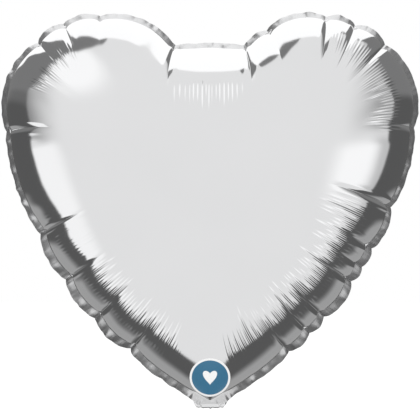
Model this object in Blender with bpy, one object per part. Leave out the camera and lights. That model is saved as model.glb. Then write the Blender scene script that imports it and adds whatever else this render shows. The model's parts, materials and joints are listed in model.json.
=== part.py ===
"""Heart-shaped foil balloon, inflated, tip down, with its filling neck folded up behind it.

Metres, +Z up. The balloon stands upright with its front panel facing -Y. The origin lies under the
balloon's middle, level with the lowest point of the fold where the neck turns up behind the back panel.

Two heart-shaped film panels are welded to each other round a flat seam. Gas pressure bulges each one.
The height over the heart comes from a field that is zero at the seam and has the same Laplacian
everywhere (Poisson's equation). Its square root would give a disc an ellipse for its section; fullness()
turns that into the flatter, rounder-shouldered section of film that can't stretch.
"""

import math

import bmesh
import bpy
import numpy as np
from mathutils import Vector

# Driving dimensions.
WIDTH = 0.380  # across both lobes, seam included
HEIGHT = 0.360  # tops of the lobes above the neck fold
DEPTH = 0.165  # front to back, at the fattest place
SEAM_WIDTH = 0.008  # flat weld round the edge
LOBE_RADIUS = 0.092  # at the seam's outer edge
CLEFT_HEIGHT = 0.3345  # the seam's outer edge between the lobes
CLEFT_HALF_WIDTH = 0.032  # half of the nearly level stretch between the lobes
SHOULDER_ANGLE = math.radians(12)  # how far below level, seen from its centre, the lobe's arc runs
TIP_HEIGHT = 0.006  # where the sides would meet the neck
TIP_SLOPE = math.radians(31)  # of the sides above level, as they reach the neck
SHOULDER_PULL = 0.150  # how long the side keeps the lobe's direction
TIP_PULL = 0.095  # how long the side keeps the tip's slope
CORNER_SOFTNESS = 0.0045  # standard deviation of the rounding at the tip and the cleft

FILM = 0.0003  # foil thickness as modelled
SEAM_GAP = 0.0006  # between the two panels at the seam, room for the valve films
NECK_WIDTH = 0.032
NECK_LENGTH = 0.062  # from the fold to the open mouth
NECK_CORNER = 0.003  # rounding of the two corners at the mouth
FOLD_HEIGHT = 0.0005  # the neck's fold line
FOLD_ANGLE = math.radians(124)  # from hanging straight down to lying up behind the back panel
FOLD_CLEARANCE = 0.0024  # from the fold line up to the stub of the neck that the panels hold

VALVE_FILM = 0.0001
VALVE_GAP = 0.0001  # between the valve's two films
VALVE_WIDTH = 0.022
VALVE_LENGTH = 0.075  # inside the balloon, above the seam
VALVE_CORNER = 0.004
VALVE_SETBACK = 0.008  # from the valve's outer end to the neck's mouth
VALVE_ROOT_HEIGHT = 0.0165  # where the valve leaves the seam and is free in the balloon
VALVE_ROOT_CLEARANCE = 0.001

# Mesh fineness.
AROUND = 96  # segments round the heart
RING_SHARES = (0.006, 0.022, 0.05, 0.09, 0.145, 0.22, 0.32, 0.45, 0.61, 0.8)  # of the way to the centre
CENTRE_HEIGHT = 0.205  # where the rings close
SOURCES = 120  # point sources of the pressure field, outside the seam
SOURCE_OFFSET = 0.020
SHOULDER_FULLNESS = 1.18
CROWN_POWER = 4.6


def bezier(p0, p1, p2, p3, count):
    """Points along a cubic curve, without its first point."""
    t = np.linspace(0, 1, count + 1)[1:, None]
    return (1 - t) ** 3 * p0 + 3 * (1 - t) ** 2 * t * p1 + 3 * (1 - t) * t**2 * p2 + t**3 * p3


def evenly_spaced(closed_curve, count):
    """The closed curve as count points at equal distances, from the same first point."""
    looped = np.vstack([closed_curve, closed_curve[:1]])
    run = np.concatenate([[0], np.cumsum(np.linalg.norm(np.diff(looped, axis=0), axis=1))])
    at = np.arange(count) * run[-1] / count
    return np.column_stack([np.interp(at, run, looped[:, k]) for k in range(2)])


def softened(closed_curve, deviation):
    """The closed, evenly spaced curve with its corners rounded by a Gaussian average along it."""
    step = np.linalg.norm(closed_curve[1] - closed_curve[0])
    reach = int(3 * deviation / step)
    offsets = np.arange(-reach, reach + 1)
    weights = np.exp(-0.5 * (offsets * step / deviation) ** 2)
    total = sum(w * np.roll(closed_curve, k, axis=0) for w, k in zip(weights, offsets))
    return total / weights.sum()


def outward_normals(closed_curve):
    """Unit normals of a curve that runs counter-clockwise seen from the front (-Y)."""
    along = np.roll(closed_curve, -1, axis=0) - np.roll(closed_curve, 1, axis=0)
    along /= np.linalg.norm(along, axis=1)[:, None]
    return np.column_stack([along[:, 1], -along[:, 0]])


def heart_edge(count):
    """The seam's outer edge in X and Z, counter-clockwise from the tip: side, lobe, cleft, lobe, side."""
    lobe_centre = np.array([WIDTH / 2 - LOBE_RADIUS, HEIGHT - LOBE_RADIUS])
    inner_cosine = (CLEFT_HALF_WIDTH - lobe_centre[0]) / LOBE_RADIUS
    angles = np.linspace(-SHOULDER_ANGLE, math.acos(inner_cosine), 80)
    lobe = lobe_centre + LOBE_RADIUS * np.column_stack([np.cos(angles), np.sin(angles)])
    shoulder = lobe[0]
    downward = np.array([-math.sin(SHOULDER_ANGLE), -math.cos(SHOULDER_ANGLE)])
    tip = np.array([0.0, TIP_HEIGHT - NECK_WIDTH / 2 * math.tan(TIP_SLOPE)])
    outward = np.array([math.cos(TIP_SLOPE), math.sin(TIP_SLOPE)])
    side = bezier(tip, tip + TIP_PULL * outward, shoulder + SHOULDER_PULL * downward, shoulder, 60)
    right = np.vstack([[tip], side[:-1], lobe])
    left = right[:0:-1] * [-1, 1]
    whole = evenly_spaced(np.vstack([right, [[0.0, CLEFT_HEIGHT]], left]), 8 * count)
    return evenly_spaced(softened(whole, CORNER_SOFTNESS), count)


def inset(closed_curve, distance):
    """The curve moved inwards along its normals."""
    return closed_curve - distance * outward_normals(closed_curve)


class PressureField:
    """u over the heart, with u = 0 on the rim and the same Laplacian everywhere.

    u = -r^2 / 4 plus a constant plus logarithmic sources that stand outside the rim, whose strengths
    make u vanish on it."""

    def __init__(self, rim):
        self.sources = evenly_spaced(inset(rim, -SOURCE_OFFSET), SOURCES)
        system = self.terms(rim)
        self.strengths = np.linalg.lstsq(system, self.bowl(rim), rcond=None)[0]
        heights = np.linspace(TIP_HEIGHT + SEAM_WIDTH, CLEFT_HEIGHT - SEAM_WIDTH, 200)
        midline = np.column_stack([np.zeros_like(heights), heights])
        self.peak = self.values(midline).max()

    def terms(self, points):
        distance = np.linalg.norm(points[:, None, :] - self.sources[None, :, :], axis=2)
        return np.column_stack([np.log(distance), np.ones(len(points))])

    @staticmethod
    def bowl(points):
        return (points**2).sum(axis=1) / 4

    def values(self, points):
        return self.terms(points) @ self.strengths - self.bowl(points)

    def height(self, points):
        """How far the panel bulges at each point, at most half of DEPTH."""
        share = np.clip(self.values(points) / self.peak, 0, 1)
        return (DEPTH / 2 - SEAM_GAP / 2 - FILM) * fullness(np.sqrt(share))


def fullness(share):
    """The section of film that can't stretch, where share is an ellipse's height, from 0 to 1.

    At the seam it is SHOULDER_FULLNESS times as steep as the ellipse."""
    return SHOULDER_FULLNESS * share - (SHOULDER_FULLNESS - 1) * share**CROWN_POWER


def material(name, colour, roughness, metallic, alpha=1.0):
    made = bpy.data.materials.new(name)
    made.use_nodes = True
    shader = made.node_tree.nodes["Principled BSDF"]
    shader.inputs["Base Color"].default_value = (*colour, 1)
    shader.inputs["Roughness"].default_value = roughness
    shader.inputs["Metallic"].default_value = metallic
    shader.inputs["Alpha"].default_value = alpha
    return made


def add_object(name, mesh, finish, parent=None):
    mesh.materials.append(finish)
    mesh.shade_smooth()
    mesh.set_sharp_from_angle(angle=math.radians(50))
    thing = bpy.data.objects.new(name, mesh)
    bpy.context.scene.collection.objects.link(thing)
    thing.parent = parent
    return thing


def with_neck_stub(outer):
    """The outer edge with its five lowest points moved to the short stub of neck above the fold line."""
    stub = outer.copy()
    foot = FOLD_HEIGHT + FOLD_CLEARANCE
    stub[0] = (0, foot)
    for side in (1, -1):
        stub[side] = (side * NECK_WIDTH / 2, foot)
        stub[2 * side] = (side * NECK_WIDTH / 2, TIP_HEIGHT)
    return stub


def panel(name, facing, finish):
    """One heart-shaped foil panel: a flat seam, a bulging middle and a short stub of the neck.

    facing is -1 for the front panel and 1 for the back one."""
    edge = heart_edge(AROUND)
    rim = inset(edge, SEAM_WIDTH)
    field = PressureField(inset(heart_edge(4 * AROUND), SEAM_WIDTH))
    centre = np.array([0.0, CENTRE_HEIGHT])
    rings = [rim + share * (centre - rim) for share in RING_SHARES]
    loops = [with_neck_stub(edge), rim] + rings
    heights = [np.zeros(AROUND), np.zeros(AROUND)] + [field.height(ring) for ring in rings]
    crown_height = field.height(centre[None, :])[0]
    base = SEAM_GAP / 2 + FILM

    shape = bmesh.new()
    rows = []
    for loop, height in zip(loops, heights):
        points = [(x, facing * (base + y), z) for (x, z), y in zip(loop, height)]
        rows.append([shape.verts.new(point) for point in points])
    crown = shape.verts.new((centre[0], facing * (base + crown_height), centre[1]))
    for wide, narrow in zip(rows, rows[1:]):
        for i in range(AROUND):
            j = (i + 1) % AROUND
            shape.faces.new((wide[i], wide[j], narrow[j], narrow[i]))
    for i in range(AROUND):
        shape.faces.new((rows[-1][i], rows[-1][(i + 1) % AROUND], crown))
    if facing > 0:
        bmesh.ops.reverse_faces(shape, faces=shape.faces)
    mesh = bpy.data.meshes.new(name)
    shape.to_mesh(mesh)
    shape.free()
    thing = add_object(name, mesh, finish)
    film = thing.modifiers.new("film", "SOLIDIFY")
    film.thickness = FILM
    film.offset = -1
    return thing


def strip(name, size, start, end, front, corner, finish, parent=None):
    """A flat strip of film in the parent's frame, from start to end along Z.

    size is its width and thickness, front is the Y of its face towards -Y, and corner is the radius of
    its two corners at end."""
    width, thickness = size
    shape = bmesh.new()
    bmesh.ops.create_cube(shape, size=1)
    bmesh.ops.scale(shape, vec=(width, thickness, abs(end - start)), verts=shape.verts)
    middle = Vector((0, front + thickness / 2, (start + end) / 2))
    bmesh.ops.translate(shape, vec=middle, verts=shape.verts)
    if corner > 0:
        far = [edge for edge in shape.edges if runs_through(edge, end, thickness)]
        bmesh.ops.bevel(shape, geom=far, offset=corner, segments=5, affect="EDGES", profile=0.5)
    mesh = bpy.data.meshes.new(name)
    shape.to_mesh(mesh)
    shape.free()
    return add_object(name, mesh, finish, parent)


def runs_through(edge, end, thickness):
    """Whether the edge crosses the strip's thickness at its far end."""
    first, second = (v.co for v in edge.verts)
    at_end = abs(first.z - end) < thickness / 2 and abs(second.z - end) < thickness / 2
    return at_end and abs(first.y - second.y) > thickness / 2


def pivot(name, location, rotation_x=0.0, parent=None):
    """An empty on a joint's axis, which runs along X."""
    empty = bpy.data.objects.new(name, None)
    bpy.context.scene.collection.objects.link(empty)
    empty.parent = parent
    empty.location = location
    empty.rotation_euler = (rotation_x, 0, 0)
    return empty


def valve_pair(names, start, end, corner, finish, parents):
    """The valve's front and back films over one stretch, a narrow gap apart."""
    fronts = (-VALVE_GAP / 2 - VALVE_FILM, VALVE_GAP / 2)
    for name, front, parent in zip(names, fronts, parents):
        strip(name, (VALVE_WIDTH, VALVE_FILM), start, end, front, corner, finish, parent)


def build_neck(foil, clear_film):
    """The filling neck, a flat tube of four films, folded up behind the balloon about the fold line."""
    fold = pivot("neck_fold_axis", (0, 0, FOLD_HEIGHT), FOLD_ANGLE)
    size = (NECK_WIDTH, FILM)
    outer_face = -SEAM_GAP / 2 - FILM
    strip("neck_front_foil", size, 0, -NECK_LENGTH, outer_face, NECK_CORNER, foil, fold)
    strip("neck_back_foil", size, 0, -NECK_LENGTH, SEAM_GAP / 2, NECK_CORNER, foil, fold)
    names = ("neck_valve_front_film", "neck_valve_back_film")
    mouth_end = VALVE_SETBACK - NECK_LENGTH
    valve_pair(names, 0, mouth_end, VALVE_CORNER, clear_film, (fold, fold))


def build_valve(clear_film):
    """The self-sealing valve: welded between the panels at the seam, and free inside the balloon.

    Gas pressure holds its two free films against each other."""
    names = ("seam_valve_front_film", "seam_valve_back_film")
    foot = FOLD_HEIGHT + FOLD_CLEARANCE
    valve_pair(names, foot, VALVE_ROOT_HEIGHT, 0, clear_film, (None, None))
    swing = pivot("valve_swing_axis", (0, 0, VALVE_ROOT_HEIGHT))
    opening = pivot("valve_opening_axis", (0, 0, 0), parent=swing)
    names = ("valve_front_film", "valve_back_film")
    valve_pair(names, VALVE_ROOT_CLEARANCE, VALVE_LENGTH, VALVE_CORNER, clear_film, (opening, swing))


def main():
    for thing in list(bpy.data.objects):
        bpy.data.objects.remove(thing)
    foil = material("silver_foil", (0.80, 0.81, 0.82), 0.14, 1.0)
    clear_film = material("clear_film", (0.86, 0.88, 0.90), 0.25, 0.0, alpha=0.4)
    panel("front_panel", -1, foil)
    panel("back_panel", 1, foil)
    build_neck(foil, clear_film)
    build_valve(clear_film)


main()
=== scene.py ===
"""The looks of a heart-shaped foil balloon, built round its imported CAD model.

Each foil panel is one sheet whose mesh follows the film: its rings are contours of the bulge, and its
columns run down the slope from the middle to the weld, which is the way that creases and pleats run.
More rings outside the weld make the flat seam, and each panel's sheet or foil runs on into the neck.
"""

import json
import math
from collections import namedtuple

import bpy
import numpy as np
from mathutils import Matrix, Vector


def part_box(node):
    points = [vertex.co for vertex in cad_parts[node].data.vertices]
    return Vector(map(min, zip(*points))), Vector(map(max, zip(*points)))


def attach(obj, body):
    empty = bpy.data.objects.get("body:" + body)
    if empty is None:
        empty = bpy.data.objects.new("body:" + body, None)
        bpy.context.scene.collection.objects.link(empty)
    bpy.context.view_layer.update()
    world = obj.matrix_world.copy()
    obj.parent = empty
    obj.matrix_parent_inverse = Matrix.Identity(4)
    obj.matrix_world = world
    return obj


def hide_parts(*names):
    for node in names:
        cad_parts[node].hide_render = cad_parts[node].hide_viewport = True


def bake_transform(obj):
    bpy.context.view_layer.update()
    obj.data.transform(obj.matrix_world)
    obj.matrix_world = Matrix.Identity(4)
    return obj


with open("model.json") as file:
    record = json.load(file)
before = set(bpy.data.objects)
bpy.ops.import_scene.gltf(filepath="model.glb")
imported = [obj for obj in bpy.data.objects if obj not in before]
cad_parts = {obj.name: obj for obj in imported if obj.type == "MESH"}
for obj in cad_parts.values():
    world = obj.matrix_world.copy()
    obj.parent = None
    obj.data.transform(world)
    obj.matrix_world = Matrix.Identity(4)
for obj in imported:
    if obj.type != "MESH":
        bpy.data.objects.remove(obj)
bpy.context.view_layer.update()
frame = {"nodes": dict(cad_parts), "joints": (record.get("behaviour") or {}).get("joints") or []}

MM = 0.001
PANEL_LOW, PANEL_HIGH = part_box("front_panel")
NECK_LOW, NECK_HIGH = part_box("neck_front_foil")
JOINTS = {joint["name"]: joint for joint in frame["joints"]}
FOLD_AXIS = np.array(JOINTS["neck_fold"]["pos_m"])

# The heart's outline, as the CAD has it.
WIDTH = PANEL_HIGH.x - PANEL_LOW.x
HEIGHT = PANEL_HIGH.z
HALF_DEPTH = -PANEL_LOW.y
FILM_OFFSET = -PANEL_HIGH.y
SEAM_WIDTH = 8 * MM  # at the tip
SIDE_SEAM_WIDTH = 9.4 * MM  # along the lower sides
LOBE_SEAM_WIDTH = 5.8 * MM
LOBE_TO_SIDE = (200 * MM, 130 * MM)  # the heights between which one width becomes the next
SIDE_TO_TIP = (75 * MM, 25 * MM)
LOBE_RADIUS = 92 * MM
CLEFT_HEIGHT = HEIGHT - 25.5 * MM
CLEFT_HALF_WIDTH = 32 * MM
SHOULDER_ANGLE = math.radians(12)
TIP_HEIGHT = 6 * MM
TIP_SLOPE = math.radians(31)
TIP_ZONE = (15 * MM, 75 * MM)  # the heights over which the seam's unevenness sets in, above the neck
SHOULDER_PULL = 150 * MM
TIP_PULL = 95 * MM
CORNER_SOFTNESS = 4.5 * MM
CENTRE = np.array([0.0, 0.57 * HEIGHT])

# The section of an inflated cushion of film.
SHOULDER_FULLNESS = 1.18
CROWN_POWER = 4.6
SOURCES = 120
SOURCE_OFFSET = 20 * MM

# The neck hangs from the tip, bends round the fold and lies up behind the back panel.
NECK_HALF_WIDTH = (NECK_HIGH.x - NECK_LOW.x) / 2
VALVE_HALF_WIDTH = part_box("valve_front_film")[1].x
NECK_TOP = 3 * MM
NECK_LENGTH = 62 * MM
NECK_CORNER = 3 * MM
FOLD_ANGLE = math.radians(124)
BEND_CENTRE = np.array([0.8, 1.4]) * MM  # in Y and Z
FRONT_BEND = 1.4 * MM
BACK_BEND = 0.15 * MM

# Mesh fineness.
COLUMNS = 1920
SEAM_RINGS = 6
FINE_STEP = 2.0 * MM  # between rings at the weld
STEP_GROWTH = 60 * MM  # the step doubles over this much of the section
FINE_REACH = 130 * MM  # beyond it, the columns thin out
LAST_RING = 0.92  # of the way up the section, where a fan of triangles closes the sheet
SUBSTEPS = 4  # up the field's slope, from one ring to the next
LEVEL_SHARE = 0.15  # of what it is off its level, that each ring works off
RINGS_PER_THINNING = 5  # every so many rings the columns halve in number
MOST_THINNING = 32
BEND_ROWS = 12
NECK_STEP = 1.3 * MM


def bezier(p0, p1, p2, p3, count):
    """Points along a cubic curve, without its first point."""
    t = np.linspace(0, 1, count + 1)[1:, None]
    return (1 - t) ** 3 * p0 + 3 * (1 - t) ** 2 * t * p1 + 3 * (1 - t) * t**2 * p2 + t**3 * p3


def run_along(closed_curve):
    """The curve with its first point again at the end, and the distance run at each point."""
    looped = np.vstack([closed_curve, closed_curve[:1]])
    return looped, np.concatenate([[0], np.cumsum(np.linalg.norm(np.diff(looped, axis=0), axis=1))])


def evenly_spaced(closed_curve, count):
    looped, run = run_along(closed_curve)
    at = np.arange(count) * run[-1] / count
    return np.column_stack([np.interp(at, run, looped[:, k]) for k in range(2)])


def spaced_by(density, count, values):
    """values, given at even steps round a closed curve, at count places that crowd where density is high."""
    total = np.concatenate([[0], np.cumsum(density)])
    at = np.arange(count) * total[-1] / count
    looped = np.vstack([values, values[:1]])
    return np.column_stack([np.interp(at, total, looped[:, k]) for k in range(2)])


def angles_about_centre(points):
    away = points - CENTRE
    return np.degrees(np.arctan2(away[:, 1], away[:, 0])) % 360


def softened(closed_curve, deviation):
    """The closed, evenly spaced curve averaged along itself with a Gaussian weight."""
    step = np.linalg.norm(closed_curve[1] - closed_curve[0])
    reach = int(3 * deviation / step)
    offsets = np.arange(-reach, reach + 1)
    weights = np.exp(-0.5 * (offsets * step / deviation) ** 2)
    total = sum(w * np.roll(closed_curve, k, axis=0) for w, k in zip(weights, offsets))
    return total / weights.sum()


def outward_normals(closed_curve):
    """Unit normals of a curve that runs counter-clockwise seen from the front (-Y)."""
    along = np.roll(closed_curve, -1, axis=0) - np.roll(closed_curve, 1, axis=0)
    along /= np.linalg.norm(along, axis=1)[:, None]
    return np.column_stack([along[:, 1], -along[:, 0]])


def ease(x):
    """0 below 0, 1 above 1 and smooth between."""
    x = np.clip(x, 0, 1)
    return x * x * (3 - 2 * x)


def between(values, start, end):
    """0 at start, 1 at end and smooth between; start may be the greater."""
    return ease((values - start) / (end - start))


def zone(angles, middle, half_width):
    """1 near the middle angle and 0 beyond about half_width from it, with a smooth shoulder."""
    return np.exp(-(((angles - middle) / half_width) ** 4))


def fading(heights, length, end):
    """An exponential fall from 1 that is brought to nothing at end."""
    return np.exp(-heights / length) * np.clip(1 - (heights / end) ** 2, 0, 1) ** 2


def heart_edge(count):
    """The seam's outer edge in X and Z, counter-clockwise from the tip: side, lobe, cleft, lobe, side."""
    lobe_centre = np.array([WIDTH / 2 - LOBE_RADIUS, HEIGHT - LOBE_RADIUS])
    inner_cosine = (CLEFT_HALF_WIDTH - lobe_centre[0]) / LOBE_RADIUS
    angles = np.linspace(-SHOULDER_ANGLE, math.acos(inner_cosine), 400)
    lobe = lobe_centre + LOBE_RADIUS * np.column_stack([np.cos(angles), np.sin(angles)])
    shoulder = lobe[0]
    downward = np.array([-math.sin(SHOULDER_ANGLE), -math.cos(SHOULDER_ANGLE)])
    tip = np.array([0.0, TIP_HEIGHT - NECK_HALF_WIDTH * math.tan(TIP_SLOPE)])
    outward = np.array([math.cos(TIP_SLOPE), math.sin(TIP_SLOPE)])
    side = bezier(tip, tip + TIP_PULL * outward, shoulder + SHOULDER_PULL * downward, shoulder, 300)
    right = np.vstack([[tip], side[:-1], lobe])
    left = right[:0:-1] * [-1, 1]
    whole = evenly_spaced(np.vstack([right, [[0.0, CLEFT_HEIGHT]], left]), 2 * count)
    return evenly_spaced(softened(whole, CORNER_SOFTNESS), count)


def seam_widths(heights):
    side = LOBE_SEAM_WIDTH + (SIDE_SEAM_WIDTH - LOBE_SEAM_WIDTH) * between(heights, *LOBE_TO_SIDE)
    return side + (SEAM_WIDTH - SIDE_SEAM_WIDTH) * between(heights, *SIDE_TO_TIP)


class PressureField:
    """u over the heart: zero at the weld, with the same Laplacian everywhere."""

    def __init__(self, rim):
        self.sources = evenly_spaced(rim + SOURCE_OFFSET * outward_normals(rim), SOURCES)
        boundary = evenly_spaced(rim, 4 * SOURCES)
        self.strengths = np.linalg.lstsq(self.terms(boundary), self.bowl(boundary), rcond=None)[0]
        heights = np.linspace(0.3 * HEIGHT, 0.8 * HEIGHT, 400)
        midline = np.column_stack([np.zeros_like(heights), heights])
        values = self.values(midline)
        self.peak = values.max()
        self.summit = midline[values.argmax()]

    def terms(self, points):
        distance = np.linalg.norm(points[:, None, :] - self.sources[None, :, :], axis=2)
        return np.column_stack([np.log(distance), np.ones(len(points))])

    @staticmethod
    def bowl(points):
        return (points**2).sum(axis=1) / 4

    def values(self, points):
        return self.terms(points) @ self.strengths - self.bowl(points)

    def gradient(self, points):
        away = points[:, None, :] - self.sources[None, :, :]
        pull = self.strengths[:-1] / (away**2).sum(axis=2)
        return np.einsum("ij,ijk->ik", pull, away) - points / 2


def fullness(share):
    """The height of the cushion's section, where share is an ellipse's."""
    return SHOULDER_FULLNESS * share - (SHOULDER_FULLNESS - 1) * share**CROWN_POWER


def fullness_slope(share):
    return SHOULDER_FULLNESS - (SHOULDER_FULLNESS - 1) * CROWN_POWER * share ** (CROWN_POWER - 1)


def section_levels():
    """The rings' shares of the ellipse's height, and how far up the section from the weld each one is.

    The steps are measured along the section of a round cushion as wide as the heart."""
    share = np.linspace(0, 1, 6000)
    radius = WIDTH / 2 - SEAM_WIDTH
    inward = radius * (1 - np.sqrt(1 - share**2))
    upward = HALF_DEPTH * fullness(share)
    run = np.concatenate([[0], np.cumsum(np.hypot(np.diff(inward), np.diff(upward)))])
    at = [0.0]
    while at[-1] < LAST_RING * run[-1]:
        at.append(at[-1] + FINE_STEP * (1 + at[-1] / STEP_GROWTH))
    at = np.array(at[:-1])
    return np.interp(at, run, share), at


def flow_lines(field, rim, levels):
    """The rim's points carried up the field's slope to each level in turn, one array of points per ring.

    The field isn't quite zero along the rim, so each ring also works off a share of its error."""
    rings = [rim]
    points = rim.copy()

    def slope(at, level):
        gradient = field.gradient(at)
        return gradient * (2 * level * field.peak / (gradient**2).sum(axis=1))[:, None]

    for low, high in zip(levels, levels[1:]):
        step = (high - low) / SUBSTEPS
        for k in range(SUBSTEPS):
            level = low + k * step
            middle = points + slope(points, level) * step / 2
            points = points + slope(middle, level + step / 2) * step
        gradient = field.gradient(points)
        off_level = field.values(points) - field.peak * high**2
        points = points - LEVEL_SHARE * gradient * (off_level / (gradient**2).sum(axis=1))[:, None]
        rings.append(points.copy())
    return rings


# A crease runs from a notch in the edge straight up the slope. angle is where it starts, in degrees
# counter-clockwise from +X about the heart's centre; the rest is in millimetres.
Crease = namedtuple("Crease", "angle notch depth width length")
CREASES = (
    Crease(15.4, 0.8, 0.9, 1.5, 50),
    Crease(38, 2.4, 1.8, 1.3, 60),
    Crease(47, 2.6, 1.6, 1.2, 52),
    Crease(54.5, 1.4, 2.0, 1.3, 72),
    Crease(68.5, 1.2, 0.8, 1.4, 30),
    Crease(75.5, 1.4, 2.5, 0.8, 96),
    Crease(104.8, 1.6, 1.8, 0.8, 104),
    Crease(124, 1.6, 1.0, 1.4, 34),
    Crease(133, 0.8, 1.0, 1.2, 48),
    Crease(141, 2.8, 1.0, 1.3, 24),
    Crease(165.5, 0.8, 1.6, 1.2, 72),
    Crease(196.5, 1.6, 1.4, 0.7, 92),
    Crease(214, 1.8, 1.4, 0.7, 88),
    Crease(230, 1.0, 1.5, 1.3, 70),
    Crease(244.8, 4.6, 2.0, 1.5, 60),
    Crease(294.5, 2.8, 1.8, 1.5, 60),
    Crease(303, 2.0, 1.8, 1.4, 80),
    Crease(310, 2.6, 2.0, 1.4, 84),
    Crease(325, 2.8, 2.2, 1.4, 84),
    Crease(331, 1.4, 1.4, 1.4, 60),
    Crease(338, 2.0, 1.9, 1.3, 80),
    Crease(352.5, 1.8, 3.0, 1.2, 104),
)
BACK_CREASES = (
    Crease(12, 0, 1.4, 1.4, 64),
    Crease(40, 0, 1.8, 1.4, 62),
    Crease(58, 0, 1.6, 1.4, 58),
    Crease(75.5, 0, 3.0, 1.0, 84),
    Crease(104.8, 0, 3.0, 1.0, 80),
    Crease(127, 0, 1.6, 1.4, 60),
    Crease(146, 0, 1.7, 1.4, 58),
    Crease(172, 0, 1.5, 1.4, 66),
    Crease(200, 0, 2.2, 1.4, 88),
    Crease(222, 0, 2.0, 1.4, 80),
    Crease(244.8, 0, 2.2, 1.5, 70),
    Crease(295, 0, 2.0, 1.5, 70),
    Crease(312, 0, 2.2, 1.4, 84),
    Crease(330, 0, 2.0, 1.4, 78),
    Crease(350, 0, 2.2, 1.4, 90),
)
CREASE_SPREAD = 0.5  # how much wider a crease is at its end, as a share of its width
LIP_SHARE = 0.28  # of its depth, that the film stands proud at each side of a crease
NOTCH_POINT = 3 * MM  # a notch is a sharp point in a wider dip
NOTCH_DIP = 10 * MM
NOTCH_POINT_SHARE = 0.55
MOST_SCALLOP = 3.4 * MM  # how far the film stands proud between two creases
SCALLOP_SHARE = 0.085  # of the distance between them
SCALLOP_POWER = 2.2
SCALLOP_REACH = 84 * MM  # how far up the section they show
SHORT_SCALLOP_REACH = 46 * MM  # round the left lobe's shoulder
LEFT_SHOULDER = (138, 21)  # its middle and half width, in degrees about the heart's centre
CLEFT = (90, 14)  # the same for the cleft, where the edge is nearly straight
CLEFT_FLATNESS = 0.9

# Fine pleats stand side by side between two angles, on the shoulder of the bulge: from nearest to
# between shortest and longest, in millimetres up the section from the weld. height is in millimetres.
Pleats = namedtuple("Pleats", "start end fade height nearest shortest longest")
PLEATS = (
    Pleats(213, 259, 6, 1.25, 48, 78, 108),
    Pleats(277, 350, 4, 1.3, 53, 84, 116),
    Pleats(190, 213, 6, 0.35, 40, 70, 96),
    Pleats(132, 154, 3, 0.8, 42, 56, 68),
    Pleats(12, 54, 4, 0.75, 40, 54, 74),
    Pleats(76, 104, 2, 0.85, 90, 122, 152),
)
BACK_PLEATS = (
    Pleats(190, 262, 5, 1.0, 38, 74, 112),
    Pleats(278, 350, 5, 1.0, 38, 74, 112),
    Pleats(128, 152, 4, 0.7, 44, 66, 88),
    Pleats(26, 54, 4, 0.7, 44, 66, 88),
    Pleats(77, 103, 2, 0.9, 34, 70, 100),
)
PLEAT_PITCH = 3.3 * MM
PLEAT_WIDTH = 1.05 * MM
PLEAT_RISE = 14 * MM  # up the section, over which a pleat comes up

# Chance waves along the seam: their size and pitch in millimetres, and their seed.
Wave = namedtuple("Wave", "size pitch seed")
SWAY = (Wave(1.2, 70, 3), Wave(0.4, 24, 4))  # the weld line, to the front and back
BUCKLE = (Wave(0.8, 17, 5), Wave(0.22, 7, 6))  # the seam's outer part, to the front and back
RIPPLE = (Wave(0.06, 3.4, 9),)
EDGE = (Wave(0.3, 16, 8), Wave(0.08, 7, 7))  # the cut edge, in and out
PUCKER = (Wave(0.9, 6.5, 21), Wave(0.45, 3.2, 22))  # the front sheet over the neck
PUCKER_MEAN = 1.08 * MM
CREASE_BUCKLE = 0.4  # of a notch's depth
LIP_HEIGHT = 0.7 * MM  # how far the upper seam's edge curls to the front
DRAW_IN = 1.2 * MM  # how far filling draws the whole weld in

# How the unevenness at the weld dies out up the film: the length of its fall and where it ends.
WELD_FADE = (14 * MM, 60 * MM)
SWAY_FADE = (35 * MM, 100 * MM)


def column_density(angles):
    """How closely the columns stand: closer among pleats, and closest within a degree of a crease."""
    density = np.full(len(angles), 0.62)
    for pleats in PLEATS + BACK_PLEATS:
        density[(angles > pleats.start) & (angles < pleats.end)] = 1.0
    for crease in CREASES + BACK_CREASES:
        density += 1.1 * np.exp(-(((angles - crease.angle) / 0.9) ** 2))
    return density


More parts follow.
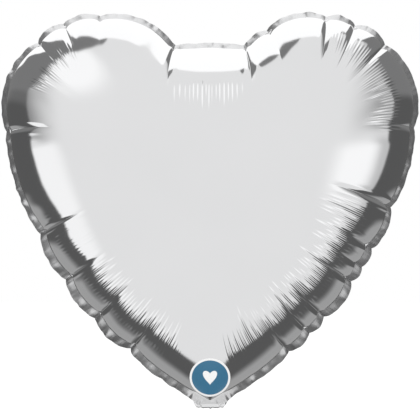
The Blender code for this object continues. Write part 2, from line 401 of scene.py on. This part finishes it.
class Rim:
    """The weld line, with the places along it that the detail needs."""

    def __init__(self):
        outer = heart_edge(4 * COLUMNS)
        widths = seam_widths(outer[:, 1])
        line = evenly_spaced(outer - widths[:, None] * outward_normals(outer), 4 * COLUMNS)
        density = column_density(angles_about_centre(line))
        outward = spaced_by(density, COLUMNS, outward_normals(softened(line, 2 * MM)))
        self.points = spaced_by(density, COLUMNS, line)
        self.outward = outward / np.linalg.norm(outward, axis=1)[:, None]
        self.seam_width = seam_widths(self.points[:, 1])
        run = run_along(self.points)[1]
        self.length = run[-1]
        self.run = run[:-1]
        self.angle = angles_about_centre(self.points)

    def run_at(self, angle):
        """The distance along the weld line at an angle about the heart's centre."""
        difference = (self.angle - angle + 180) % 360 - 180
        return self.run[np.abs(difference).argmin()]

    def away_from(self, run):
        """Each column's signed distance from a place along the weld line."""
        return (self.run - run + self.length / 2) % self.length - self.length / 2

    def wander(self, pitch, seed):
        """A smooth random line round the rim, about -1 to 1, that changes over about the given pitch."""
        chance = np.random.RandomState(seed)
        middle = self.length / pitch
        waves = np.arange(max(1, int(0.55 * middle)), int(1.45 * middle) + 2)
        phases = chance.uniform(0, 2 * np.pi, len(waves))
        sizes = chance.uniform(0.4, 1, len(waves))
        turn = 2 * np.pi * self.run / self.length
        total = sum(a * np.cos(k * turn + p) for a, k, p in zip(sizes, waves, phases))
        return total / np.sqrt((sizes**2).sum())

    def chance_waves(self, waves):
        return sum(wave.size * MM * self.wander(wave.pitch * MM, wave.seed) for wave in waves)

    def scallops(self, creases):
        """How far the film stands proud at each column: arches that meet at the creases."""
        stops = np.sort([self.run_at(crease.angle) for crease in creases])
        after = np.searchsorted(stops, self.run, side="right")
        start = stops[after - 1]
        end = stops[after % len(stops)]
        spacing = (end - start) % self.length
        share = ((self.run - start) % self.length) / spacing
        height = np.minimum(MOST_SCALLOP, SCALLOP_SHARE * spacing)
        height = height * (1 - CLEFT_FLATNESS * zone(self.angle, *CLEFT))
        height = height * between(self.points[:, 1], *TIP_ZONE)
        return height * (1 - np.abs(2 * share - 1) ** SCALLOP_POWER)


def crease_depths(rim, creases, heights):
    """How far each crease sinks the film, at each ring's height up the section: rings by columns."""
    total = np.zeros((len(heights), COLUMNS))
    for crease in creases:
        away = np.abs(rim.away_from(rim.run_at(crease.angle)))
        share = np.clip(heights / (crease.length * MM), 0, 1)[:, None]
        width = crease.width * (1 + CREASE_SPREAD * share) * MM
        fade = (1 - share**3) ** 1.3
        lips = LIP_SHARE * np.exp(-(((away - 3.2 * width) / (1.6 * width)) ** 2))
        total += crease.depth * MM * fade * (np.exp(-away / width) - lips)
    return total


def notch_depths(rim, creases):
    """How far the weld is drawn in at each column."""
    total = np.zeros(COLUMNS)
    for crease in creases:
        away = np.abs(rim.away_from(rim.run_at(crease.angle)))
        point = NOTCH_POINT_SHARE * np.exp(-away / NOTCH_POINT)
        total += crease.notch * MM * (point + (1 - NOTCH_POINT_SHARE) * np.exp(-away / NOTCH_DIP))
    return total


def pleat_heights(rim, zones, heights, seed):
    """How far the fine pleats stand up, rings by columns."""
    chance = np.random.RandomState(seed)
    total = np.zeros((len(heights), COLUMNS))
    for pleats in zones:
        rise = ease((heights - pleats.nearest * MM) / PLEAT_RISE + 0.5)[:, None]
        start, end = rim.run_at(pleats.start), rim.run_at(pleats.end)
        start, end = min(start, end), max(start, end)
        fade = pleats.fade / 360 * rim.length
        place = start
        while place < end:
            strength = ease((place - start) / fade) * ease((end - place) / fade)
            strength *= pleats.height * MM * chance.uniform(0.6, 1.2)
            length = (pleats.shortest + (pleats.longest - pleats.shortest) * chance.beta(1.6, 1.6)) * MM
            width = PLEAT_WIDTH * chance.uniform(0.8, 1.25)
            share = np.clip(heights / length, 0, 1)[:, None]
            away = rim.away_from(place)
            near = np.abs(away) < 4 * width
            ridge = np.exp(-((away[near] / width) ** 2))[None, :]
            total[:, near] += strength * rise * (1 - share**5) ** 1.5 * ridge
            place += PLEAT_PITCH * chance.uniform(0.8, 1.2)
    return total


class Seam:
    """The flat edge outside the weld, which both panels share."""

    def __init__(self, rim):
        self.rim = rim
        height = rim.points[:, 1]
        clear_of_tip = between(height, *TIP_ZONE)
        upward = rim.outward[:, 1]
        self.proud = rim.scallops(CREASES)
        self.drawn_in = notch_depths(rim, CREASES) - self.proud + DRAW_IN * clear_of_tip
        self.sway = rim.chance_waves(SWAY) * clear_of_tip
        self.buckle = rim.chance_waves(BUCKLE)
        for crease in CREASES:
            away = rim.away_from(rim.run_at(crease.angle))
            step = CREASE_BUCKLE * crease.notch * MM
            self.buckle += step * np.sign(away) * np.exp(-np.abs(away) / (4 * MM))
        self.ripple = rim.chance_waves(RIPPLE)
        self.edge = rim.chance_waves(EDGE)
        # The middle of the tip stays flat, so that the valve's films lie between the two sheets there.
        beside_valve = np.abs(rim.points[:, 0]) - VALVE_HALF_WIDTH
        self.flat = ease(1 - beside_valve / (9 * MM)) * (height < CENTRE[1])
        # The seam stands out from the weld and leans forward, by 50 degrees and a little less low down.
        lean = np.radians(50 - 8 * between(upward, -0.15, -0.65))
        self.lean = np.tan(lean) * (1 - self.flat)
        self.pucker = (PUCKER_MEAN + rim.chance_waves(PUCKER)) * self.flat
        self.lip = LIP_HEIGHT * ease(0.2 + 0.7 * rim.wander(34 * MM, 10)) * ease(upward * 2) * clear_of_tip
        places = zip(rim.points, rim.outward, rim.seam_width)
        self.reach = np.array([self.to_neck(*place) for place in places])

    @staticmethod
    def to_neck(point, outward, width):
        """How far out the seam runs from a point of the weld: to its edge, or to the neck's top."""
        if outward[1] > -0.5 or abs(point[0]) > NECK_HALF_WIDTH:
            return width
        return min(width, (point[1] - NECK_TOP) / -outward[1])

    def rows(self, facing):
        """Points of the seam's rings, from its outer edge to just short of the weld."""
        made = []
        for k in range(SEAM_RINGS):
            share = 1 - k / SEAM_RINGS
            out = self.reach * share + self.edge * share**2 - self.drawn_in
            flat = self.rim.points + out[:, None] * self.rim.outward
            thick = FILM_OFFSET * np.where(self.at_neck(), 1, min(1, (1 - share) * SEAM_RINGS / 2))
            across = self.sway + self.buckle * ease(share * 1.2) + self.ripple * ease(share * 2)
            across = across * (1 - self.flat)
            across = across + self.lean * self.reach * share - self.lip * ease((share - 0.75) / 0.25)
            if facing < 0:
                across = across - self.pucker * ease(1.4 * share)
            across = across + facing * thick
            made.append(np.column_stack([flat[:, 0], across, flat[:, 1]]))
        return made

    def at_neck(self):
        """1 for the columns that end at the neck, 0 for the others and smooth between."""
        return ease((self.rim.seam_width - self.reach) / (1.5 * MM))

    def neck_columns(self):
        """The columns that the neck hangs from, from left to right."""
        ends = self.rim.points[:, 0] + self.reach * self.rim.outward[:, 0]
        low = (self.rim.points[:, 1] < 3 * SEAM_WIDTH) & (np.abs(ends) <= NECK_HALF_WIDTH)
        right = int((low & (ends > 0)).sum())
        left = int((low & (ends < 0)).sum())
        return np.arange(-left, right + 1) % COLUMNS


def panel_rings(rim, seam, field, facing, creases, pleats, seed):
    """The bulging film's rings, from the weld to near the summit."""
    levels, heights = section_levels()
    flat = flow_lines(field, rim.points, levels)
    sink = crease_depths(rim, creases, heights)
    stand = pleat_heights(rim, pleats, heights, seed)
    near_weld = fading(heights, *WELD_FADE)
    near_seam = fading(heights, *SWAY_FADE)
    shortening = (SCALLOP_REACH - SHORT_SCALLOP_REACH) * zone(rim.angle, *LEFT_SHOULDER)
    scallop_reach = SCALLOP_REACH - shortening
    arch = np.clip(1 - (heights[:, None] / scallop_reach) ** 2, 0, 1) ** 2
    proud = rim.scallops(creases)
    rings = []
    for k, (points, level) in enumerate(zip(flat, levels)):
        gradient = field.gradient(points)
        slope = -HALF_DEPTH * fullness_slope(level)
        depthward = np.full(COLUMNS, facing * 2 * level * field.peak)
        outward = np.column_stack([slope * gradient[:, 0], depthward, slope * gradient[:, 1]])
        outward /= np.linalg.norm(outward, axis=1)[:, None]
        bulge = FILM_OFFSET + (HALF_DEPTH - FILM_OFFSET) * fullness(level)
        base = np.column_stack([points[:, 0], np.full(COLUMNS, facing * bulge), points[:, 1]])
        drawn = seam.drawn_in + seam.proud
        move = stand[k] - sink[k] * (k > 0) - drawn * near_weld[k] + proud * arch[k]
        if k == 0:
            move = -seam.drawn_in
        ring = base + move[:, None] * outward
        ring[:, 1] += seam.sway * near_seam[k]
        rings.append(ring)
    return rings, heights


def neck_path(radius):
    """The neck's rows below its top: distance from the fold, place and outward direction in Y and Z."""
    steps = []
    for height in (0.5 * (NECK_TOP + BEND_CENTRE[1]), BEND_CENTRE[1]):
        place = np.array([BEND_CENTRE[0] - radius, height])
        steps.append((BEND_CENTRE[1] - height - radius, place, np.array([-1.0, 0.0])))
    for k in range(1, BEND_ROWS + 1):
        turn = math.pi + FOLD_ANGLE * k / BEND_ROWS
        out = np.array([math.cos(turn), math.sin(turn)])
        steps.append((radius * (turn - 1.5 * math.pi), BEND_CENTRE + radius * out, out))
    run, place, out = steps[-1]
    along = np.array([-out[1], out[0]])
    left = NECK_LENGTH - (place - FOLD_AXIS[1:]) @ along
    count = int(left / NECK_STEP)
    for k in range(1, count + 1):
        steps.append((run + left * k / count, place + along * left * k / count, out))
    return steps


def neck_half_width(run):
    """The neck narrows a little at its fold and is rounded at the two corners of its mouth."""
    half = NECK_HALF_WIDTH - 3.6 * MM * math.exp(-((run / (3.2 * MM)) ** 2))
    into_corner = max(0.0, run - (NECK_LENGTH - NECK_CORNER))
    return half - NECK_CORNER + math.sqrt(max(0.0, NECK_CORNER**2 - into_corner**2))


def crumple_waves(x, run):
    """The crumpled foil's waves, between -0.91 and 0.91: long ones down the neck, crossed by shallow ones."""
    x, run = x / MM, run / MM
    fine = 0.30 * np.sin(x / 0.95 + 1.3 + 0.04 * run) + 0.26 * np.sin(x / 0.57 + 0.7 - 0.06 * run)
    return fine + 0.35 * np.sin(run / 2.3 + x / 2.6) * ease(run / 8)


def neck_rows(first, radius, swell, crumple):
    """Rows of points that carry one foil from the panel's lower edge round the fold to the neck's mouth.

    swell and crumple are in millimetres, outward from the bend."""
    rows = []
    spread = np.linspace(-1, 1, len(first))
    for index, (run, place, out) in enumerate(neck_path(radius)):
        x = spread * neck_half_width(run)
        join = ease(index / 3)
        across = np.clip(1 - (x / (NECK_HALF_WIDTH - 2 * MM)) ** 2, 0, 1)
        wave = 0.95 + crumple_waves(x, run)  # always to the same side, clear of the valve's films
        lift = (swell * between(run, 3 * MM, 21 * MM) + crumple * wave) * MM * across
        row = np.column_stack([x, place[0] + lift * out[0], place[1] + lift * out[1]])
        row = first * (1 - join) + row * join
        if join < 1:
            row[:, 2] = np.minimum(row[:, 2], first[:, 2] - 0.4 * MM * (index + 1))
        rows.append(row)
    return rows


def bridge(first, second):
    """Triangles between two closed rows of vertex numbers whose counts differ."""
    faces = []
    i = j = 0
    n, m = len(first), len(second)
    while i < n or j < m:
        if j >= m or (i < n and (i + 1) * m <= (j + 1) * n):
            faces.append((first[i % n], first[(i + 1) % n], second[j % m]))
            i += 1
        else:
            faces.append((first[i % n], second[(j + 1) % m], second[j % m]))
            j += 1
    return faces


def grid_faces(above, below):
    """Quads between two open rows of vertex numbers."""
    return np.column_stack([below[:-1], below[1:], above[1:], above[:-1]]).tolist()


def rows_faces(rows, columns):
    """Quads over a whole grid of points, facing the way grid_faces does where later rows are above."""
    faces = []
    for k in range(rows - 1):
        row = np.arange(columns) + columns * k
        faces += grid_faces(row + columns, row)
    return faces


def sheet(name, rows, heights, summit, neck=None, flip=False):
    """A mesh from closed rows of points, thinned towards the summit, with open neck rows below the first."""
    verts, faces, numbers = [], [], []
    count = 0
    thinning = int(np.searchsorted(heights, FINE_REACH)) + SEAM_RINGS
    for k, row in enumerate(rows):
        step = 1
        if k >= thinning:
            step = min(MOST_THINNING, 2 ** (1 + (k - thinning) // RINGS_PER_THINNING))
        verts.append(row[::step])
        numbers.append(np.arange(count, count + len(verts[-1])))
        count += len(verts[-1])
    for wide, narrow in zip(numbers, numbers[1:]):
        if len(wide) == len(narrow):
            faces += np.column_stack([wide, np.roll(wide, -1), np.roll(narrow, -1), narrow]).tolist()
        else:
            faces += bridge(wide.tolist(), narrow.tolist())
    verts.append(summit[None, :])
    last = numbers[-1]
    faces += [(int(a), int(b), count) for a, b in zip(last, np.roll(last, -1))]
    count += 1
    if neck:
        above, below_rows = neck
        for row in below_rows:
            verts.append(row)
            below = np.arange(count, count + len(row))
            count += len(row)
            faces += grid_faces(above, below)
            above = below
    return mesh_object(name, np.vstack(verts), faces, flip)


def mark_seam(thing):
    """Stores 1 at the seam's vertices and 0 elsewhere, for the material: the seam's painted shade and its
    higher roughness.
    """
    values = np.zeros(len(thing.data.vertices), np.float32)
    values[: SEAM_RINGS * COLUMNS] = 1
    thing.data.attributes.new("seam", "FLOAT", "POINT").data.foreach_set("value", values)


def mesh_object(name, verts, faces, flip=False):
    if flip:
        faces = [tuple(reversed(face)) for face in faces]
    mesh = bpy.data.meshes.new(name)
    mesh.from_pydata(verts.tolist(), [], faces)
    mesh.update()
    mesh.shade_smooth()
    thing = bpy.data.objects.new(name, mesh)
    bpy.context.scene.collection.objects.link(thing)
    return thing


class Nodes:
    """A short way to write a node tree of sums."""

    def __init__(self, tree):
        self.tree = tree

    def add(self, kind, **settings):
        node = self.tree.nodes.new(kind)
        for key, value in settings.items():
            setattr(node, key, value)
        return node

    def link(self, source, target):
        if hasattr(source, "type"):
            self.tree.links.new(source, target)
        else:
            target.default_value = source

    def math(self, operation, *values):
        node = self.add("ShaderNodeMath", operation=operation)
        for value, socket in zip(values, node.inputs):
            self.link(value, socket)
        return node.outputs[0]

    def plus(self, *values):
        total = values[0]
        for value in values[1:]:
            total = self.math("ADD", total, value)
        return total

    def times(self, *values):
        total = values[0]
        for value in values[1:]:
            total = self.math("MULTIPLY", total, value)
        return total

    def ramp(self, value, low, high):
        """0 at low, 1 at high and smooth between; low may be the greater."""
        node = self.add("ShaderNodeMapRange", interpolation_type="SMOOTHSTEP")
        for source, name in ((value, "Value"), (low, "From Min"), (high, "From Max")):
            self.link(source, node.inputs[name])
        return node.outputs["Result"]

    def over(self, value, edge, softness):
        """0 well below the edge and 1 well above it."""
        return self.ramp(self.math("SUBTRACT", value, edge), -softness, softness)

    def mix(self, share, first, second):
        """first where share is 0 and second where it is 1."""
        rest = self.math("SUBTRACT", 1.0, share)
        return self.plus(self.times(rest, first), self.times(share, second))

    def noise(self, place, scale, detail):
        node = self.add("ShaderNodeTexNoise")
        node.inputs["Scale"].default_value = scale
        node.inputs["Detail"].default_value = detail
        self.link(place, node.inputs["Vector"])
        return node.outputs["Fac"]

    def colour(self, red, green, blue):
        node = self.add("ShaderNodeCombineColor")
        for source, name in ((red, "Red"), (green, "Green"), (blue, "Blue")):
            self.link(source, node.inputs[name])
        return node.outputs["Color"]

    def bump(self, height, strength, distance):
        node = self.add("ShaderNodeBump")
        node.inputs["Strength"].default_value = strength
        node.inputs["Distance"].default_value = distance
        self.link(height, node.inputs["Height"])
        return node.outputs["Normal"]


MARK_HEIGHT = 28.6 * MM
MARK_RADIUS = 18.4 * MM
MARK_RING = 1.9 * MM
MARK_INK = (0.035, 0.155, 0.27)
MARK_HEART = 6.4 * MM  # half its width
MARK_HEART_DROP = 1.4 * MM
INK_BLUR = 0.15 * MM


def mark_masks(nodes, place):
    """Where the round print lies on the front, and where its white ring and its small heart are."""
    split = nodes.add("ShaderNodeSeparateXYZ")
    nodes.link(place, split.inputs[0])
    x, y, z = split.outputs
    up = nodes.math("SUBTRACT", z, MARK_HEIGHT)
    radius = nodes.math("SQRT", nodes.plus(nodes.times(x, x), nodes.times(up, up)))
    disc = nodes.times(nodes.over(MARK_RADIUS, radius, INK_BLUR), nodes.over(0.0, y, 0.1 * MM))
    ring = nodes.over(radius, MARK_RADIUS - MARK_RING, INK_BLUR)
    # The heart is where a^2 + (b - |a|^(2/3))^2 < 1, with a across it and b up it.
    a = nodes.times(x, 1 / MARK_HEART)
    b = nodes.times(nodes.plus(up, MARK_HEART_DROP), 1.2 / MARK_HEART)
    lobe = nodes.math("POWER", nodes.math("ABSOLUTE", a), 2 / 3)
    b = nodes.math("SUBTRACT", b, lobe)
    heart = nodes.over(1.0, nodes.plus(nodes.times(a, a), nodes.times(b, b)), 0.04)
    return disc, nodes.math("MAXIMUM", ring, heart)


FOIL_SHADE = (0.87, 0.91)
FOIL_ROUGHNESS = (0.06, 0.12)
SEAM_PAINTED_SHADE = (0.72, 0.78)  # painted shade: a darker foil colour for the seam, standing in for the greyer studio that the flat seam mirrors
SEAM_ROUGHNESS = 0.34


def foil_material(name, with_mark=False):
    made = bpy.data.materials.new(name)
    made.use_nodes = True
    nodes = Nodes(made.node_tree)
    shader = made.node_tree.nodes["Principled BSDF"]
    place = nodes.add("ShaderNodeTexCoord").outputs["Object"]
    cloud = nodes.noise(place, 14, 4)
    seam = nodes.add("ShaderNodeAttribute", attribute_name="seam").outputs["Fac"]
    # The seam's darker foil colour is painted shade. The cloud noise is the foil's own uneven tone.
    shade = nodes.mix(seam, nodes.mix(cloud, *FOIL_SHADE), nodes.mix(cloud, *SEAM_PAINTED_SHADE))
    foil = (shade, nodes.times(shade, 1.003), nodes.times(shade, 1.012))
    roughness = nodes.mix(seam, nodes.mix(cloud, *FOIL_ROUGHNESS), SEAM_ROUGHNESS)
    metallic = 1.0
    if with_mark:
        disc, white = mark_masks(nodes, place)
        speck = nodes.mix(nodes.noise(place, 700, 2), 0.94, 1.04)
        ink = [nodes.times(nodes.mix(white, tone, 0.9), speck) for tone in MARK_INK]
        foil = [nodes.mix(disc, plain, printed) for plain, printed in zip(foil, ink)]
        roughness = nodes.mix(disc, roughness, 0.32)
        metallic = nodes.math("SUBTRACT", 1.0, disc)
    nodes.link(nodes.colour(*foil), shader.inputs["Base Color"])
    nodes.link(metallic, shader.inputs["Metallic"])
    nodes.link(roughness, shader.inputs["Roughness"])
    grain = nodes.noise(place, 900, 3)
    nodes.link(nodes.bump(grain, 0.05, 0.2 * MM), shader.inputs["Normal"])
    return made


def clear_film_material():
    made = bpy.data.materials.new("clear_film")
    made.use_nodes = True
    nodes = Nodes(made.node_tree)
    shader = made.node_tree.nodes["Principled BSDF"]
    place = nodes.add("ShaderNodeTexCoord").outputs["Object"]
    haze = nodes.noise(place, 120, 4)
    shade = nodes.mix(haze, 0.80, 0.90)
    tint = nodes.colour(shade, nodes.times(shade, 1.02), nodes.times(shade, 1.04))
    nodes.link(tint, shader.inputs["Base Color"])
    nodes.link(nodes.mix(haze, 0.18, 0.34), shader.inputs["Roughness"])
    shader.inputs["Alpha"].default_value = 0.4
    streaks = nodes.noise(place, 600, 2)
    nodes.link(nodes.bump(streaks, 0.1, 0.1 * MM), shader.inputs["Normal"])
    return made


# The studio's tones, as the foil mirrors them. 1 is as bright as the backdrop.
CENTRE_TONE = 0.83
UPPER_RIGHT_TONE = 0.36
LEFT_WALL_TONE = 0.26
RIGHT_WALL_TONE = 0.58
GLOW_TONE = 1.05
LEFT_BOX_TONE = 1.0
RIGHT_BOX_TONE = 1.05
DARK_TONE = 0.10
DIM_TONE = 0.20  # unlit, but with something pale in it
LOW_TONE = 0.36
WHITE_TONE = 1.12


def chart(nodes):
    """A direction's place on the studio's chart, whose middle is the way to the camera.

    It is in degrees: how far off that way in all, how far across and how far up."""
    split = nodes.add("ShaderNodeSeparateXYZ")
    nodes.link(nodes.add("ShaderNodeTexCoord").outputs["Camera"], split.inputs[0])
    x, y, z = split.outputs
    off = nodes.times(nodes.math("ARCCOSINE", nodes.times(z, -1.0)), 180 / math.pi)
    flat = nodes.math("SQRT", nodes.plus(nodes.times(x, x), nodes.times(y, y)))
    scale = nodes.math("DIVIDE", off, nodes.math("MAXIMUM", flat, 1e-5))
    return off, nodes.times(x, scale), nodes.times(y, scale)


def tent_tone(nodes, across, up):
    """The tent's walls, greyer at the upper right and at the left, with a round glow and two softboxes."""
    tone = CENTRE_TONE
    upper_right = nodes.times(nodes.ramp(across, 34, 68), nodes.ramp(up, 2, 16), nodes.ramp(up, 100, 70))
    tone = nodes.mix(upper_right, tone, UPPER_RIGHT_TONE)
    left_wall = nodes.times(nodes.ramp(across, -46, -90), nodes.ramp(up, -4, 1), nodes.ramp(up, 46, 34))
    tone = nodes.mix(left_wall, tone, LEFT_WALL_TONE)
    right_wall = nodes.times(nodes.ramp(across, 58, 78), nodes.ramp(up, 8, -2))
    tone = nodes.mix(right_wall, tone, RIGHT_WALL_TONE)
    # the glow, at the upper left
    from_glow = [nodes.plus(across, 35.0), nodes.times(nodes.plus(up, -52.0), 0.95)]
    distance = nodes.math("SQRT", nodes.plus(*[nodes.times(part, part) for part in from_glow]))
    tone = nodes.mix(nodes.over(20.0, distance, 7.0), tone, GLOW_TONE)
    # the left softbox, whose top edge slopes
    top = nodes.plus(17.5, nodes.times(0.29, across))
    left_box = nodes.times(nodes.over(top, up, 1.5), nodes.ramp(across, -48, -62), nodes.ramp(up, -78, -64))
    tone = nodes.mix(left_box, tone, LEFT_BOX_TONE)
    # the right softbox, a wedge
    top = nodes.plus(12.0, nodes.times(-0.2, across))
    bottom = nodes.plus(11.0, nodes.times(-0.58, across))
    right_box = nodes.times(nodes.over(top, up, 3.0), nodes.over(up, bottom, 6.0), nodes.ramp(across, 28, 46))
    return nodes.mix(nodes.times(right_box, nodes.ramp(across, 82, 62)), tone, RIGHT_BOX_TONE)


def tent_edge(nodes, across, up):
    """How many degrees off the way to the camera the tent ends."""
    edge = nodes.mix(nodes.ramp(up, 0, -6), 85.5, 89.0)
    upper_left = nodes.times(nodes.ramp(up, 30, 50), nodes.ramp(across, 0, -20))
    edge = nodes.mix(upper_left, edge, 82.5)
    tongue = nodes.times(nodes.ramp(up, 52, 66), nodes.ramp(across, -2, -24))
    edge = nodes.mix(tongue, edge, 77.0)
    edge = nodes.mix(nodes.ramp(up, -44, -62), edge, 82.0)
    below_sheet = nodes.times(nodes.ramp(up, 45, 65), nodes.ramp(across, -12, 2), nodes.ramp(across, 82, 60))
    return nodes.mix(below_sheet, edge, 104.0)


def room_tone(nodes, off, across, up):
    """The unlit room behind the tent: less dark above, and paler low down at the sides."""
    tone = nodes.mix(nodes.ramp(up, 10, 40), DARK_TONE, DIM_TONE)
    beside = nodes.ramp(nodes.math("ABSOLUTE", across), 22, 50)
    low = nodes.times(nodes.ramp(off, 106, 128), nodes.ramp(up, -46, -64), beside)
    return nodes.mix(low, tone, LOW_TONE)


def sheet_edge(nodes, across):
    """How many degrees up the white sheet overhead begins."""
    left = nodes.plus(88.0, nodes.times(0.02, across))
    right = nodes.plus(80.0, nodes.times(0.4, across))
    return nodes.math("MAXIMUM", left, right)


def studio_world():
    """A light tent with softboxes, still to the camera, as when an object is turned on a turntable."""
    world = bpy.data.worlds.new("studio")
    bpy.context.scene.world = world
    world.use_nodes = True
    tree = world.node_tree
    tree.nodes.clear()
    nodes = Nodes(tree)
    off, across, up = chart(nodes)
    tone = tent_tone(nodes, across, up)
    in_room = nodes.over(off, tent_edge(nodes, across, up), 2.5)
    tone = nodes.mix(in_room, tone, room_tone(nodes, off, across, up))
    tone = nodes.mix(nodes.over(up, sheet_edge(nodes, across), 1.5), tone, WHITE_TONE)
    background = nodes.add("ShaderNodeBackground")
    nodes.link(tone, background.inputs["Strength"])
    plain = nodes.add("ShaderNodeBackground")
    for light in (background, plain):
        light.inputs["Color"].default_value = (1, 1, 1, 1)
    either = nodes.add("ShaderNodeMixShader")
    nodes.link(nodes.add("ShaderNodeLightPath").outputs["Is Camera Ray"], either.inputs[0])
    nodes.link(background.outputs[0], either.inputs[1])
    nodes.link(plain.outputs[0], either.inputs[2])
    nodes.link(either.outputs[0], nodes.add("ShaderNodeOutputWorld").inputs[0])


FLOOR_HEIGHT = -0.30
FLOOR_HALF_WIDTH = 12.0
FLOOR_GLOW = 0.9  # keeps the floor as pale as the backdrop out to the horizon


def floor():
    """A wide pale floor below the floating balloon, which the foil doesn't mirror."""
    signs = ((-1, -1), (1, -1), (1, 1), (-1, 1))
    corners = [(a * FLOOR_HALF_WIDTH, b * FLOOR_HALF_WIDTH, FLOOR_HEIGHT) for a, b in signs]
    thing = mesh_object("floor", np.array(corners), [(0, 1, 2, 3)])
    thing.visible_glossy = False
    made = bpy.data.materials.new("floor")
    made.use_nodes = True
    nodes = Nodes(made.node_tree)
    shader = made.node_tree.nodes["Principled BSDF"]
    place = nodes.add("ShaderNodeTexCoord").outputs["Object"]
    tone = nodes.mix(nodes.noise(place, 6, 3), 0.29, 0.31)
    nodes.link(nodes.colour(tone, tone, tone), shader.inputs["Base Color"])
    shader.inputs["Roughness"].default_value = 1
    shader.inputs["Specular IOR Level"].default_value = 0
    shader.inputs["Emission Color"].default_value = (1, 1, 1, 1)
    shader.inputs["Emission Strength"].default_value = FLOOR_GLOW
    thing.data.materials.append(made)


EYE_DISTANCE = 2.6
FRAME_MARGIN = 1.0096  # the frame's width over the balloon's
SENSOR_WIDTH = 36


def camera():
    lens = bpy.data.cameras.new("camera")
    eye = bpy.data.objects.new("camera", lens)
    bpy.context.scene.collection.objects.link(eye)
    bpy.context.scene.camera = eye
    lens.sensor_width = SENSOR_WIDTH
    lens.lens = SENSOR_WIDTH * EYE_DISTANCE / (WIDTH * FRAME_MARGIN)
    eye.location = (0, -EYE_DISTANCE, HEIGHT / 2)
    eye.rotation_euler = (math.radians(90), 0, 0)
    lens.clip_start = 0.1
    lens.clip_end = 30


def finish_piece(thing, finish):
    """Gives a piece its material. The foil mirrors the studio only: bounces deep in its folds turn black."""
    thing.data.materials.append(finish)
    thing.visible_glossy = False


STRIP_COLUMNS = 13
STRIP_ROWS = 61
STRIP_CORNER = 4 * MM
STRIP_WAVE = 0.8 * MM


def film_strip(name, node, finish, body):
    """One free valve film: a strip in its CAD node's box, flat at its root and wavy above it."""
    low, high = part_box(node)
    width, length = high.x - low.x, high.z - low.z
    rows = []
    for z in np.linspace(0, length, STRIP_ROWS):
        into_corner = max(0.0, z - (length - STRIP_CORNER))
        half = width / 2 - STRIP_CORNER + math.sqrt(max(0.0, STRIP_CORNER**2 - into_corner**2))
        x = np.linspace(-half, half, STRIP_COLUMNS)
        wave = np.sin(z / (9 * MM)) + 0.5 * np.sin(z / (5 * MM) + x / (4 * MM))
        y = (low.y + high.y) / 2 + STRIP_WAVE * between(z, 0, 25 * MM) * wave
        rows.append(np.column_stack([x, y, np.full(STRIP_COLUMNS, low.z + z)]))
    faces = rows_faces(len(rows), STRIP_COLUMNS)
    thing = mesh_object(name, np.vstack(rows), faces)
    finish_piece(thing, finish)
    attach(thing, body)
    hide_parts(node)


def envelope_and_neck():
    rim = Rim()
    seam = Seam(rim)
    field = PressureField(rim.points)
    columns = seam.neck_columns()
    printed = foil_material("silver_foil_printed", with_mark=True)
    foil = foil_material("silver_foil")
    rings, heights = panel_rings(rim, seam, field, -1, CREASES, PLEATS, 11)
    rows = seam.rows(-1) + rings
    summit = np.array([field.summit[0], -HALF_DEPTH, field.summit[1]])
    neck = (columns, neck_rows(rows[0][columns], FRONT_BEND, 1.3, 1.1))
    front = sheet("front_film", rows, heights, summit, neck)
    mark_seam(front)
    finish_piece(front, printed)
    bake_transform(front)
    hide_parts("front_panel", "neck_front_foil")

    rings, heights = panel_rings(rim, seam, field, 1, BACK_CREASES, BACK_PLEATS, 12)
    rows = seam.rows(1) + rings
    summit = np.array([field.summit[0], HALF_DEPTH, field.summit[1]])
    back = sheet("back_film", rows, heights, summit, flip=True)
    mark_seam(back)
    finish_piece(back, foil)
    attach(back, "envelope")
    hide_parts("back_panel")

    first = rows[0][columns]
    lower = [first] + neck_rows(first, BACK_BEND, -0.5, -0.25)
    neck_back = mesh_object("neck_back_film", np.vstack(lower), rows_faces(len(lower), len(columns)))
    finish_piece(neck_back, foil)
    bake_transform(neck_back)
    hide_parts("neck_back_foil")


def valve():
    film = clear_film_material()
    film_strip("valve_front_sheet", "valve_front_film", film, "valve_flap")
    film_strip("valve_back_sheet", "valve_back_film", film, "valve")
    for name, node in frame["nodes"].items():
        if name.startswith(("neck_valve", "seam_valve")):
            node.data.materials.clear()
            node.data.materials.append(film)
            node.visible_glossy = False


def main():
    bpy.context.scene.view_settings.view_transform = "Standard"
    envelope_and_neck()
    valve()
    floor()
    studio_world()
    camera()


main()
